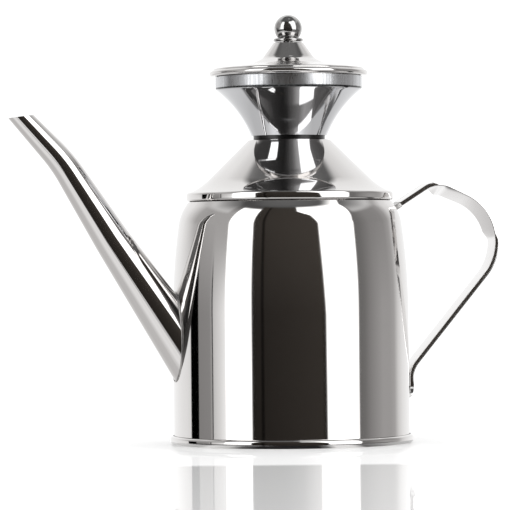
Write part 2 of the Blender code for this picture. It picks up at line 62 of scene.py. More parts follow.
# Places read from the construction model
WALL_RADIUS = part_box("body_wall")[1].x
WALL_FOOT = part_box("body_wall")[0].z
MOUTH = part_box("body_wall")[1].z
BEAD_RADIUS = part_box("base_pan")[1].x
BEAD_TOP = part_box("base_pan")[1].z
SEAM_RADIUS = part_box("shoulder_cone")[1].x
SHOULDER_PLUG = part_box("shoulder_cone")[0].z
NECK_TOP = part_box("shoulder_cone")[1].z
SLEEVE_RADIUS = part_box("neck_sleeve")[1].x
SLEEVE_LOW, SLEEVE_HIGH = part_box("neck_sleeve")[0].z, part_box("neck_sleeve")[1].z
FUNNEL_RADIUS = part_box("filling_funnel")[1].x
FUNNEL_LOW, FUNNEL_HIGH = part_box("filling_funnel")[0].z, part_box("filling_funnel")[1].z
RIM_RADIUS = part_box("lid_shell")[1].x
LID_SEAT, CROWN_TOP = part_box("lid_shell")[0].z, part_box("lid_shell")[1].z
SKIRT_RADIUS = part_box("lid_skirt")[1].x
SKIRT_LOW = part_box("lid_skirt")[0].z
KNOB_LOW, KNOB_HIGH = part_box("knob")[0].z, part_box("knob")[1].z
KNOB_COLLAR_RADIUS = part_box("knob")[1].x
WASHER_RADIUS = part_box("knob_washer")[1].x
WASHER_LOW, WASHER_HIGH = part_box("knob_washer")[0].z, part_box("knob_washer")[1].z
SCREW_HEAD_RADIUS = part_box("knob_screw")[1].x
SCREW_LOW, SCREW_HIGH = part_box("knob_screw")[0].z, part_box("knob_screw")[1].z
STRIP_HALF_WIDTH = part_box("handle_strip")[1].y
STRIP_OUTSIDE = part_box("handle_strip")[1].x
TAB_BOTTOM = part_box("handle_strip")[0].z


def length(name, description, default):
    return FloatProperty(name=name, description=description, default=default, unit="LENGTH", precision=5)


def angle(name, description, degrees):
    return FloatProperty(name=name, description=description, default=math.radians(degrees), subtype="ANGLE")


def tone(name, description, default):
    return FloatVectorProperty(name=name, description=description, default=default, size=3,
                               subtype="COLOR", min=0.0, soft_max=2.0)


class SheetSettings(bpy.types.PropertyGroup):
    sheet: length("Sheet", "Thickness of the steel sheet", 0.0006)
    fold: length("Fold radius", "Outside radius where the sheet is folded", 0.0009)
    gap: length("Joint gap", "Gap between pieces that are joined", 0.0003)
    sag: length("Chord sag", "Largest distance from a true arc to its chords", 0.000004)
    sides: IntProperty(name="Sides", description="Steps round each turned piece", default=256, min=24)


class BodySettings(bpy.types.PropertyGroup):
    pan_recess: length("Pan recess", "Height of the underside above the table", 0.0008)
    pan_step_width: length("Pan step width", "Width of the step round the underside", 0.0011)
    pan_step_inset: length("Pan step inset", "Step's distance inside the wall", 0.0010)
    mouth_inset: length("Mouth inset", "How far the wall has leant in at the mouth", 0.0065)
    barrel_fall: length("Barrel fall", "Depth below the mouth where the wall starts to lean", 0.0277)
    barrel_round: length("Barrel radius", "Radius of the wall's lean", 0.260)
    crest_fall: length("Crest fall", "Depth of the crest below the mouth", 0.0051)
    crest_spread: length("Crest spread", "How far the crest stands out beyond the mouth", 0.0033)
    crest_round: length("Crest radius", "Radius of the crest", 0.018)


class ShoulderSettings(bpy.types.PropertyGroup):
    seam_height: length("Seam height", "Height of the seam bead", 0.0037)
    seam_proud: length("Seam proud", "How far the seam bead stands out from the mouth", 0.0005)
    seam_round: length("Seam radius", "Radius of the seam bead's edges", 0.0011)
    crease_inset: length("Crease inset", "Depth of the crease above the seam bead", 0.0013)
    flare_rise: length("Flare rise", "Height of the flare above the mouth", 0.0062)
    flare_inset: length("Flare inset", "Inset of the flare from the mouth", 0.0056)
    flare_round: length("Flare radius", "Radius of the flare", 0.026)
    neck_radius: length("Neck radius", "Outside radius of the neck", 0.0156)
    edge_spread: length("Edge spread", "How far the cone's upper edge stands out from the neck", 0.0014)
    edge_fall: length("Edge fall", "Depth of the cone's upper edge below its top", 0.0004)


class FunnelSettings(bpy.types.PropertyGroup):
    collar_height: length("Collar height", "Height of the upright collar", 0.0050)
    collar_round: length("Collar radius", "Radius of the corner under the collar", 0.0020)
    waist_width: length("Waist width", "How far the waist stands out from the neck", 0.0043)
    waist_rise: length("Waist rise", "Height of the waist above the funnel's foot", 0.0106)
    waist_round: length("Waist radius", "Radius of the flare at the waist", 0.045)


class LidSettings(bpy.types.PropertyGroup):
    rim_height: length("Rim height", "Height of the rolled rim", 0.0023)
    flange_inset: length("Flange inset", "Step in from the rim to the flange", 0.0017)
    flange_rise: length("Flange rise", "Height of the flange's edge above the seat", 0.0032)
    dish_radius: length("Dish radius", "Radius where the flange turns up into the bell", 0.0158)
    dish_rise: length("Dish rise", "Height of that turn above the seat", 0.0051)
    dish_round: length("Dish bend radius", "Radius of that turn", 0.012)
    bell_radius: length("Bell foot radius", "Radius of the bell's foot", 0.0108)
    bell_rise: length("Bell foot rise", "Height of the bell's foot above the seat", 0.0073)
    bell_round: length("Bell foot bend radius", "Radius of the bend at the bell's foot", 0.004)
    crown_radius: length("Crown radius", "Radius of the flat crown under the knob", 0.0061)
    skirt_flange: length("Skirt flange", "Width of the inner ring's flange", 0.0050)


class KnobSettings(bpy.types.PropertyGroup):
    ball_radius: length("Ball radius", "Radius of the ball", 0.0057)
    collar_height: length("Collar height", "Height of the knob's collar", 0.0014)
    bore_depth: length("Bore depth", "Depth of the bore for the screw", 0.0060)
    screw_radius: length("Screw radius", "Radius of the screw's shank", 0.0019)
    head_height: length("Head height", "Height of the screw's head", 0.0022)
    head_round: length("Head radius", "Radius of the screw head's edge", 0.0013)
    slot_width: length("Slot width", "Width of the screwdriver slot", 0.0010)


class SpoutSettings(bpy.types.PropertyGroup):
    sheet: length("Sheet", "Thickness of the spout's sheet", 0.0008)
    root_height: length("Root height", "Height where the centre line leaves the wall", 0.0459)
    root_width: length("Root width", "Outside width at the root", 0.0201)
    neck_width: length("Neck width", "Outside width where the taper changes", 0.0148)
    tip_width: length("Tip width", "Outside width at the lip", 0.0085)
    root_run: length("Root run", "Length from the root to the change of taper", 0.0459)
    middle_run: length("Middle run", "Length from there to the bend", 0.0379)
    tip_run: length("Tip run", "Length from the bend to the lip", 0.0252)
    root_slope: angle("Root slope", "Slope of the first run", 56.1)
    middle_slope: angle("Middle slope", "Slope of the middle run", 57.8)
    tip_slope: angle("Tip slope", "Slope of the last run", 47.2)
    bend_round: length("Bend radius", "Radius of both bends", 0.070)
    lip_tilt: angle("Lip tilt", "Tilt of the lip from level", 7.0)
    reach_in: length("Reach in", "How far the tube's blank runs in behind the wall", 0.020)
    sides: IntProperty(name="Sides", description="Steps round the tube", default=96, min=24)
    fillet: length("Solder fillet", "Radius of the solder round the root", 0.00030)


class HandleSettings(bpy.types.PropertyGroup):
    thickness: length("Thickness", "Thickness of the strip", 0.0018)
    edge: length("Edge radius", "Radius of the strip's long edges", 0.0003)
    tab_rise: length("Tab rise", "Height of the straight tab", 0.0105)
    tab_corner: length("Tab corner", "Radius of the tab's corners", 0.0040)
    tab_bend: length("Tab bend", "Radius of the bend above the tab", 0.010)
    low_fall: length("Low fall", "Depth of the bow's lower corner below the mouth", 0.0248)
    high_fall: length("High fall", "Depth of the bow's upper corner below the mouth", 0.0032)
    bow_round: length("Bow radius", "Radius of the bow's corners", 0.0229)
    crown_out: length("Crown out", "Distance of the crown from the wall", 0.0180)
    crown_lift: length("Crown lift", "Height of the crown above the mouth", 0.0087)
    crown_round: length("Crown radius", "Radius of the crown", 0.0112)
    top_fall: length("Top fall", "Depth of the upper joint below the mouth", 0.0027)
    twist_low: angle("Lower twist", "Turn of the strip at its outermost point", 8.0)
    twist_high: angle("Upper twist", "Turn of the strip at its crown", 19.0)
    twist_run: length("Twist run", "Length over which the turn sets in and dies out", 0.0050)
    weld_length: length("Weld length", "Length of the weld at the upper joint", 0.0012)
    foot_drop: length("Foot weld drop", "Depth of the weld under the tab", 0.0018)


class FinishSettings(bpy.types.PropertyGroup):
    polished: tone("Polished steel", "Colour of the polished outside", (0.80, 0.785, 0.775))
    strip: tone("Strip steel", "Colour of the handle's strip", (0.88, 0.87, 0.865))
    ball: tone("Knob steel", "Colour of the darker steel of the knob", (0.56, 0.555, 0.55))
    drawn: tone("Drawn steel", "Colour of the drawn funnel", (0.76, 0.77, 0.79))
    inner: tone("Inner steel", "Colour of the unpolished inside", (0.62, 0.61, 0.60))
    # Painted shade: near-black colour on the neck tube, standing in for the shade in the groove under the
    # funnel
    groove: tone("Groove steel", "Colour of the stained steel in the groove", (0.05, 0.05, 0.05))
    solder: tone("Solder", "Colour of the dressed joints", (0.55, 0.54, 0.53))
    fastener: tone("Fastener steel", "Colour of the screw and the washer", (0.60, 0.60, 0.60))


class StageSettings(bpy.types.PropertyGroup):
    azimuth: angle("Camera azimuth", "Camera's direction round the object", -12.0)
    roll: angle("Camera roll", "Camera's tilt in the picture plane", 0.54)
    distance: length("Camera distance", "Camera's distance from the body's axis", 1.5)
    height: length("Camera height", "Camera's height above the table", 0.0776)
    aside: length("Camera aside", "Camera's distance left of the body's axis", 0.0145)
    lens: FloatProperty(name="Lens", description="Focal length in millimetres", default=257.3)
    table_front: length("Table front", "Distance from the body's axis to the table's front edge", 0.45)
    table_reach: length("Table reach", "Distance the table runs back and to each side", 4.0)
    mist: length("Mist", "Distance from the body's axis to where the table mirrors clearly", 0.150)
    mirror_reach: length("Mirror reach", "Distance to each side where the table stays glossy", 0.120)
    mirror_fade: length("Mirror fade", "Length over which the table's gloss dies out", 0.050)
    mist_fade: length("Mist fade", "Length over which the mist clears", 0.012)
    ring_width: length("Contact ring width", "Width of the ring under the base's bead", 0.006)
    ring_depth: length("Contact ring depth", "Depth of that ring under the table's surface", 0.0005)
    lamp_width: length("Lamp width", "Width of the overhead lamp", 2.5)
    lamp_height: length("Lamp height", "Height of the lamp above the table", 1.8)
    lamp_power: FloatProperty(name="Lamp power", description="Power of the overhead lamp", default=3.0,
                              unit="POWER")


class DispenserSettings(bpy.types.PropertyGroup):
    sheet: PointerProperty(type=SheetSettings)
    body: PointerProperty(type=BodySettings)
    shoulder: PointerProperty(type=ShoulderSettings)
    funnel: PointerProperty(type=FunnelSettings)
    lid: PointerProperty(type=LidSettings)
    knob: PointerProperty(type=KnobSettings)
    spout: PointerProperty(type=SpoutSettings)
    handle: PointerProperty(type=HandleSettings)
    finish: PointerProperty(type=FinishSettings)
    stage: PointerProperty(type=StageSettings)


def settings():
    return bpy.context.scene.oil_dispenser


# Shader maths

WHITE = (1.0, 1.0, 1.0, 1.0)
BLACK = (0.0, 0.0, 0.0, 1.0)


class Signal:
    """Output of a node. Arithmetic on it adds Math nodes to its graph."""

    def __init__(self, graph, socket):
        self.graph = graph
        self.socket = socket

    def math(self, operation, first, second=0.0):
        return self.graph.add("ShaderNodeMath", {"operation": operation}, {0: first, 1: second})

    def __add__(self, other):
        return self.math("ADD", self, other)

    def __sub__(self, other):
        return self.math("SUBTRACT", self, other)

    def __rsub__(self, other):
        return self.math("SUBTRACT", other, self)

    def __mul__(self, other):
        return self.math("MULTIPLY", self, other)

    def __abs__(self):
        return self.math("ABSOLUTE", self)

    __radd__ = __add__
    __rmul__ = __mul__


class Graph:
    """Node tree of one material or world."""

    def __init__(self, tree):
        self.tree = tree
        tree.nodes.clear()

    def add(self, kind, options=None, inputs=None, output=0):
        node = self.tree.nodes.new(kind)
        for name, value in (options or {}).items():
            if name == "stops":
                self.set_stops(node.color_ramp, value)
            else:
                setattr(node, name, value)
        for name, value in (inputs or {}).items():
            if isinstance(value, Signal):
                self.tree.links.new(value.socket, node.inputs[name])
            else:
                node.inputs[name].default_value = value
        return Signal(self, node.outputs[output]) if node.outputs else None

    def set_stops(self, ramp, stops):
        ramp.elements.remove(ramp.elements[1])
        ramp.elements[0].position = stops[0][0]
        for place, colour in stops:
            element = ramp.elements[0] if place == stops[0][0] else ramp.elements.new(place)
            element.color = (*colour, 1.0)

    def smooth(self, value, start, end):
        """0 before start and 1 after end, with a soft step between."""
        return self.add("ShaderNodeMapRange", {"interpolation_type": "SMOOTHSTEP"},
                        {"Value": value, "From Min": start, "From Max": end})

    def between(self, value, start, end, first, last):
        """First before start and last after end, with a straight slope between."""
        return self.add("ShaderNodeMapRange", None, {"Value": value, "From Min": start, "From Max": end,
                                                      "To Min": first, "To Max": last})

    def window(self, value, low, high, soft):
        """1 between low and high and 0 outside, with soft edges."""
        rise = self.smooth(value, low - soft, low + soft)
        return rise * (1.0 - self.smooth(value, high - soft, high + soft))

    def blend(self, factor, low, high):
        """Colour mixed from low to high."""
        return self.add("ShaderNodeMix", {"data_type": "RGBA"}, {0: factor, 6: low, 7: high}, output=2)

    def stretched(self, scale):
        """Object coordinates stretched by a scale along X, Y and Z."""
        place = self.add("ShaderNodeTexCoord", output="Object")
        return self.add("ShaderNodeMapping", None, {"Vector": place, "Scale": scale})

    def noise(self, scale, detail, roughness=0.5, vector=None):
        place = vector or self.stretched((1.0, 1.0, 1.0))
        return self.add("ShaderNodeTexNoise", None,
                        {"Vector": place, "Scale": scale, "Detail": detail, "Roughness": roughness})

    def axes(self, vector=None):
        """The X, Y and Z of a vector, or else of the Object coordinates."""
        place = vector or self.add("ShaderNodeTexCoord", output="Object")
        parts = self.add("ShaderNodeSeparateXYZ", None, {"Vector": place})
        return [Signal(self, parts.socket.node.outputs[axis]) for axis in "XYZ"]

    def bump(self, distance, height, **under):
        """Normal raised by a height, over the Normal under it if one is given."""
        return self.add("ShaderNodeBump", None,
                        {"Strength": 1.0, "Distance": distance, "Height": height, **under})


def new_graph(data):
    """Emptied graph of a new material or world."""
    data.use_nodes = True
    return Graph(data.node_tree)


# Stretch of a finish's lines along X, Y and Z
ROUND_LINES = (60.0, 60.0, 4000.0)
STRIP_LINES = (30.0, 900.0, 30.0)
UPRIGHT_LINES = (2600.0, 2600.0, 40.0)
BRUSH_LINES = (1100.0, 1100.0, 60.0)
EVEN_GRAIN = (1500.0, 1500.0, 1500.0)

CLOUD_SCALE = 55.0
DENT_SCALE = 42.0

# Name: material slot, colour setting, roughness and its swing, stretch of the lines, height of the lines
# and height of the dents
FINISHES = {
    "outside_polish": ("polished_steel", "polished", 0.05, 0.03, ROUND_LINES, 0.00000005, 0.00002),
    "strip_polish": ("polished_steel", "strip", 0.10, 0.05, STRIP_LINES, 0.00000003, 0.00002),
    "ball_polish": ("polished_steel", "ball", 0.12, 0.05, ROUND_LINES, 0.00000003, 0.00001),
    "lid_polish": ("polished_steel", "polished", 0.09, 0.04, ROUND_LINES, 0.00000005, 0.00002),
    "funnel_polish": ("drawn_steel", "drawn", 0.04, 0.02, UPRIGHT_LINES, 0.00000003, 0.00002),
    "inside_steel": ("inner_steel", "inner", 0.30, 0.10, EVEN_GRAIN, 0.000001, 0.00002),
    # The next finish paints the neck tube near-black, as painted shade in the groove under the funnel
    "painted_groove_shade": ("inner_steel", "groove", 0.30, 0.10, EVEN_GRAIN, 0.000001, 0.00002),
    "dressed_joint": ("solder", "solder", 0.34, 0.12, EVEN_GRAIN, 0.000002, 0.00004),
    "screw_steel": ("fastener_steel", "fastener", 0.28, 0.10, ROUND_LINES, 0.000001, 0.00002),
}


def steel(finish):
    """Steel of one finish: fine lines along its grain, shallow dents and a varying polish.

    The funnel's collar is brushed along those lines, which blurs what it mirrors across them. A dark line
    painted into the colour at the collar's foot is a painted reflection.
    """
    if finish in bpy.data.materials:
        return bpy.data.materials[finish]
    _, setting, roughness, swing, grain, line_height, dent_height = FINISHES[finish]
    colour = getattr(settings().finish, setting)
    material = bpy.data.materials.new(finish)
    graph = new_graph(material)
    lines = graph.noise(1.0, 3.0, 0.6, graph.stretched(grain))
    clouds = graph.noise(CLOUD_SCALE, 3.0)
    dents = graph.noise(DENT_SCALE, 0.0)
    shade = graph.blend(clouds, (*(0.96 * part for part in colour), 1.0), (*colour, 1.0))
    lined = graph.bump(line_height, lines, Normal=graph.bump(dent_height, dents))
    polish = roughness + swing * (lines - 0.5) + swing * (clouds - 0.5)
    if finish == "funnel_polish":
        collar_foot = FUNNEL_HIGH - settings().funnel.collar_height
        height = graph.axes()[2]
        brushed = graph.smooth(height, collar_foot - 0.0001, collar_foot + 0.0003)
        wires = graph.noise(1.0, 3.0, 0.7, graph.stretched(BRUSH_LINES))
        polish = polish + brushed * (0.08 + 0.36 * wires)
        lined = graph.bump(0.00002, wires * brushed, Normal=lined)
        # Painted reflection: a dark line painted at the collar's foot, where a dark reflection shows
        painted_reflection_line = graph.window(height, collar_foot - 0.0001, collar_foot + 0.0006, 0.0002) * 0.85
        shade = graph.blend(painted_reflection_line + brushed * (0.6 * (wires - 0.35)), shade, BLACK)
    shader = graph.add("ShaderNodeBsdfPrincipled", None, {
        "Base Color": shade, "Metallic": 1.0, "Roughness": polish, "Normal": lined})
    graph.add("ShaderNodeOutputMaterial", None, {"Surface": shader})
    return material


# Shapes shared by several pieces

def rounded(corners):
    """Outline through corners (x, z, radius), each inner corner turned into an arc.

    Two arcs that would meet on the stretch between their corners are both drawn in to fit it.
    """
    sag = settings().sheet.sag
    places = [Vector(corner[:2]) for corner in corners]
    lengths = [(high - low).length for low, high in zip(places, places[1:])]
    turns = [0.0] * len(places)
    for index in range(1, len(places) - 1):
        turns[index] = (places[index] - places[index - 1]).angle(places[index + 1] - places[index])
    tangents = [corner[2] * math.tan(turn / 2) for corner, turn in zip(corners, turns)]
    fits = [min(1.0, run / max(low + high, 1e-9)) for run, low, high in zip(lengths, tangents, tangents[1:])]
    points = [places[0]]
    for index in range(1, len(places) - 1):
        corner, turn = places[index], turns[index]
        tangent = tangents[index] * min(fits[index - 1], fits[index])
        if tangent < 1e-6:
            points.append(corner)
            continue
        radius = tangent / math.tan(turn / 2)
        back = (places[index - 1] - corner).normalized()
        ahead = (places[index + 1] - corner).normalized()
        centre = corner + (back + ahead).normalized() * (radius / math.cos(turn / 2))
        spoke = corner + back * tangent - centre
        chords = max(4, math.ceil(turn / (2 * math.acos(1 - min(sag / radius, 0.5)))))
        side = math.copysign(1.0, ahead.cross(back))
        points += [centre + Matrix.Rotation(side * turn * step / chords, 2) @ spoke
                   for step in range(chords + 1)]
    points.append(places[-1])
    return [point for index, point in enumerate(points)
            if index == 0 or (point - points[index - 1]).length > 1e-7]


def moved_aside(path, distance):
    """The path moved to its left by a distance, with mitred corners."""
    aside = []
    for index, point in enumerate(path):
        before = path[max(index - 1, 0)]
        after = path[min(index + 1, len(path) - 1)]
        first = (point - before) if index else (after - point)
        second = (after - point) if index < len(path) - 1 else first
        normals = [Vector((-way.y, way.x)).normalized() for way in (first, second)]
        middle = (normals[0] + normals[1]).normalized()
        aside.append(point + middle * (distance / middle.dot(normals[0])))
    return aside


def sheet_section(path, thickness):
    """Closed section of a sheet whose outer face follows the path, with the metal on its left."""
    return path + moved_aside(path, thickness)[::-1]


def smoothed(mesh, sharp_degrees=35.0):
    mesh.shade_smooth()
    mesh.set_sharp_from_angle(angle=math.radians(sharp_degrees))
    return mesh


def mesh_of(bm):
    mesh = bpy.data.meshes.new("shape")
    bm.to_mesh(mesh)
    bm.free()
    return mesh


def closed_mesh(bm, sharp_degrees=35.0):
    bmesh.ops.remove_doubles(bm, verts=bm.verts, dist=1e-7)
    bmesh.ops.recalc_face_normals(bm, faces=bm.faces)
    return smoothed(mesh_of(bm), sharp_degrees)


def turned_mesh(section, sides=None):
    """Solid of revolution about Z from a section (radius, height)."""
    bm = bmesh.new()
    verts = [bm.verts.new((point[0], 0.0, point[1])) for point in section]
    edges = [bm.edges.new(pair) for pair in zip(verts, verts[1:])]
    if section[0][0] > 1e-6 or section[-1][0] > 1e-6:
        edges.append(bm.edges.new((verts[-1], verts[0])))
    bmesh.ops.spin(bm, geom=verts + edges, cent=(0, 0, 0), axis=(0, 0, 1), angle=2 * math.pi,
                   steps=sides or settings().sheet.sides, use_merge=True)
    return closed_mesh(bm)


def turned_sheet(path):
    """Sheet turned about Z, with its outer face along the path."""
    return turned_mesh(sheet_section(path, settings().sheet.sheet))


def placed(name, data):
    """Object that holds the data, in the scene."""
    obj = bpy.data.objects.new(name, data)
    bpy.context.scene.collection.objects.link(obj)
    return obj


def finished_mesh(obj):
    """Mesh of an object after its modifiers or its curve's bevel."""
    bpy.context.view_layer.update()
    return bpy.data.meshes.new_from_object(obj.evaluated_get(bpy.context.evaluated_depsgraph_get()))


def piece(name, mesh, finish, body, node):
    """Piece of the object that stands for one node of the construction model."""
    obj = placed(name, mesh)
    mesh.name = name
    mesh.materials.clear()
    mesh.materials.append(steel(finish))
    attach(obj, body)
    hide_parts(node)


def carved(mesh, *shapes):
    """Mesh after other shapes are cut from it."""
    obj = placed("blank", mesh)
    tools = [placed("cut", shape) for shape in shapes]
    for tool in tools:
        boolean = obj.modifiers.new("cut", "BOOLEAN")
        boolean.operation = "DIFFERENCE"
        boolean.object = tool
        boolean.solver = "EXACT"
    result = finished_mesh(obj)
    for made in [obj, *tools]:
        bpy.data.objects.remove(made)
    if not result.polygons:
        raise RuntimeError("nothing is left of a blank after its cuts")
    return smoothed(result)


def way_at(path, index):
    """Direction of a path in the XZ plane at one of its points."""
    before, after = path[max(index - 1, 0)], path[min(index + 1, len(path) - 1)]
    return Vector((after.x - before.x, 0, after.y - before.y)).normalized()


def new_verts(made):
    return [item for item in made["geom"] if isinstance(item, bmesh.types.BMVert)]


def next_ring(bm, ring):
    """Ring of vertices extruded from the last one, still in its place."""
    edges = {edge for vert in ring for edge in vert.link_edges if edge.other_vert(vert) in ring}
    return new_verts(bmesh.ops.extrude_edge_only(bm, edges=list(edges)))


def close_ends(bm):
    bmesh.ops.holes_fill(bm, edges=[edge for edge in bm.edges if edge.is_boundary], sides=0)


def wall_path():
    """Outer face of the body wall, from its foot to the mouth."""
    body = settings().body
    mouth = WALL_RADIUS - body.mouth_inset
    return rounded([
        (WALL_RADIUS, WALL_FOOT, 0),
        (WALL_RADIUS, MOUTH - body.barrel_fall, body.barrel_round),
        (mouth + body.crest_spread, MOUTH - body.crest_fall, body.crest_round),
        (mouth, MOUTH, 0),
    ])


def wall_radius_at(height):
    path = wall_path()
    for low, high in zip(path, path[1:]):
        if low.y <= height <= high.y:
            return low.x + (high.x - low.x) * (height - low.y) / (high.y - low.y)
    return WALL_RADIUS


def wall_core(clearance):
    """Solid that fills the wall, grown by a clearance."""
    side = moved_aside(wall_path(), -clearance)
    foot = -WALL_RADIUS / 10
    section = [Vector((0, foot)), Vector((side[0].x, foot)), *side, Vector((0, side[-1].y))]
    return turned_mesh(section)


# Vessel

def make_bottom_pan():
    body, sheet = settings().body, settings().sheet
    step_foot = WALL_RADIUS - sheet.sheet - body.pan_step_inset
    under = rounded([
        (0, body.pan_recess, 0),
        (step_foot - body.pan_step_width, body.pan_recess, sheet.fold),
        (step_foot, 0, sheet.fold),
        (BEAD_RADIUS, 0, BEAD_TOP / 2),
        (BEAD_RADIUS, BEAD_TOP, BEAD_TOP / 2),
        (WALL_RADIUS + sheet.gap, BEAD_TOP, 0),
    ])
    section = sheet_section(under, sheet.sheet)
    section[-1].x = 0
    piece("bottom_pan", turned_mesh(section), "outside_polish", "vessel", "base_pan")


def make_wall():
    reach = settings().spout.reach_in
    bore = closed_mesh(spout_loft(-settings().spout.sheet, BORE_OVERRUN * reach, reach))
    piece("wall_shell", carved(turned_sheet(wall_path()), bore), "outside_polish", "vessel", "body_wall")


def make_shoulder():
    form, sheet, body = settings().shoulder, settings().sheet, settings().body
    mouth = WALL_RADIUS - body.mouth_inset
    plug = moved_aside(wall_path(), sheet.sheet)[-1].x - sheet.gap
    bead_low = MOUTH + sheet.gap
    bead_high = bead_low + form.seam_height
    outside = rounded([
        (plug, SHOULDER_PLUG, 0),
        (plug, bead_low, sheet.gap),
        (SEAM_RADIUS, bead_low, form.seam_round),
        (SEAM_RADIUS, bead_high, form.seam_round),
        (SEAM_RADIUS - form.crease_inset, bead_high, sheet.gap),
        (mouth - form.flare_inset, MOUTH + form.flare_rise, form.flare_round),
        (form.neck_radius + form.edge_spread, NECK_TOP - form.edge_fall, sheet.fold),
        (form.neck_radius - sheet.sheet + sheet.gap / 2, NECK_TOP, 0),
    ])
    piece("shoulder_shell", turned_sheet(outside), "outside_polish", "vessel", "shoulder_cone")


def make_sleeve():
    path = [Vector((SLEEVE_RADIUS, SLEEVE_LOW)), Vector((SLEEVE_RADIUS, SLEEVE_HIGH))]
    # The neck tube is painted near-black: painted shade in the groove between the shoulder and the funnel
    piece("neck_tube", turned_sheet(path), "painted_groove_shade", "vessel", "neck_sleeve")


def make_funnel():
    form = settings().funnel
    neck = settings().shoulder.neck_radius
    outside = rounded([
        (neck, FUNNEL_LOW, 0),
        (neck + form.waist_width, FUNNEL_LOW + form.waist_rise, form.waist_round),
        (FUNNEL_RADIUS, FUNNEL_HIGH - form.collar_height, form.collar_round),
        (FUNNEL_RADIUS, FUNNEL_HIGH, 0),
    ])
    piece("funnel_shell", turned_sheet(outside), "funnel_polish", "vessel", "filling_funnel")


# Lid

def make_lid_shell():
    form, sheet = settings().lid, settings().sheet
    rim_top = LID_SEAT + form.rim_height
    flange = RIM_RADIUS - form.flange_inset
    outside = rounded([
        (SKIRT_RADIUS + sheet.gap, LID_SEAT, 0),
        (RIM_RADIUS, LID_SEAT, form.rim_height / 2),
        (RIM_RADIUS, rim_top, form.rim_height / 2),
        (flange + sheet.gap, rim_top, sheet.gap),
        (flange, LID_SEAT + form.flange_rise, sheet.fold),
        (form.dish_radius, LID_SEAT + form.dish_rise, form.dish_round),
        (form.bell_radius, LID_SEAT + form.bell_rise, form.bell_round),
        (form.crown_radius, CROWN_TOP, sheet.fold),
        (settings().knob.screw_radius + sheet.gap, CROWN_TOP, 0),
    ])
    piece("lid_dome", turned_sheet(outside), "lid_polish", "lid", "lid_shell")


def make_lid_ring():
    form, sheet = settings().lid, settings().sheet
    flange = RIM_RADIUS - form.flange_inset
    slope = (form.dish_rise - form.flange_rise) / (flange - form.dish_radius)
    drop = (sheet.sheet + sheet.gap) * math.hypot(1, slope)

    def under_lid(radius):
        return LID_SEAT + form.flange_rise + (flange - radius) * slope - drop

    inner = SKIRT_RADIUS - form.skirt_flange
    path = rounded([
        (SKIRT_RADIUS, SKIRT_LOW, 0),
        (SKIRT_RADIUS, under_lid(SKIRT_RADIUS), sheet.fold),
        (inner, under_lid(inner), 0),
    ])
    piece("lid_ring", turned_sheet(path), "inside_steel", "lid", "lid_skirt")


def make_knob():
    form, sheet = settings().knob, settings().sheet
    bore = form.screw_radius + sheet.gap
    collar_top = KNOB_LOW + form.collar_height
    centre = KNOB_HIGH - form.ball_radius
    crease = math.sqrt(form.ball_radius ** 2 - (collar_top - centre) ** 2)
    collar = rounded([
        (bore, KNOB_LOW, 0),
        (KNOB_COLLAR_RADIUS, KNOB_LOW, form.collar_height / 2),
        (KNOB_COLLAR_RADIUS, collar_top, form.collar_height / 2),
        (crease, collar_top, 0),
    ])
    start = math.atan2(collar_top - centre, crease)
    steps = sheet.sides // 4
    ball = []
    for index in range(1, steps):
        turn = start + (math.pi / 2 - start) * index / steps
        ball.append(Vector((form.ball_radius * math.cos(turn), centre + form.ball_radius * math.sin(turn))))
    bore_top = KNOB_LOW + form.bore_depth
    section = [Vector((0, bore_top)), Vector((bore, bore_top)), *collar, *ball, Vector((0, KNOB_HIGH))]
    piece("ball_knob", turned_mesh(section), "ball_polish", "lid", "knob")


def make_washer():
    hole = settings().knob.screw_radius + settings().sheet.gap
    edge = (WASHER_HIGH - WASHER_LOW) / 4
    section = rounded([
        (hole, WASHER_HIGH, 0), (hole, WASHER_LOW, edge), (WASHER_RADIUS, WASHER_LOW, edge),
        (WASHER_RADIUS, WASHER_HIGH, edge), (hole, WASHER_HIGH, 0),
    ])[:-1]
    piece("screw_washer", turned_mesh(section), "screw_steel", "lid", "knob_washer")


SCREW_SIDES = 96


def make_screw():
    form = settings().knob
    seat = SCREW_LOW + form.head_height
    section = rounded([
        (0, SCREW_LOW, 0), (SCREW_HEAD_RADIUS, SCREW_LOW, form.head_round), (SCREW_HEAD_RADIUS, seat, 0),
        (form.screw_radius, seat, 0), (form.screw_radius, SCREW_HIGH, 0), (0, SCREW_HIGH, 0),
    ])
    slot = bmesh.new()
    size = Matrix.Diagonal((3 * SCREW_HEAD_RADIUS, form.slot_width, 2 * form.slot_width, 1))
    bmesh.ops.create_cube(slot, size=1.0, matrix=Matrix.Translation((0, 0, SCREW_LOW)) @ size)
    cut = carved(turned_mesh(section, SCREW_SIDES), closed_mesh(slot))
    piece("slotted_screw", cut, "screw_steel", "lid", "knob_screw")


# Spout

def spout_corners():
    """Corners of the spout's centre line in the XZ plane, and the ways between them."""
    form = settings().spout
    way = [Vector((-math.cos(slope), math.sin(slope)))
           for slope in (form.root_slope, form.middle_slope, form.tip_slope)]
    root = Vector((-wall_radius_at(form.root_height), form.root_height))
    neck = root + way[0] * form.root_run
    bend = neck + way[1] * form.middle_run
    lip = bend + way[2] * form.tip_run
    return root, neck, bend, lip, way


def spout_radius_at(point):
    """Outside radius at a point of the centre line: one taper up to the neck, a finer one beyond."""
    form = settings().spout
    _, neck, _, _, way = spout_corners()
    along = (point - neck).dot(way[0])
    root_taper = (form.root_width - form.neck_width) / 2 / form.root_run
    tip_taper = (form.neck_width - form.tip_width) / 2 / (form.middle_run + form.tip_run)
    return form.neck_width / 2 - along * (root_taper if along < 0 else tip_taper)


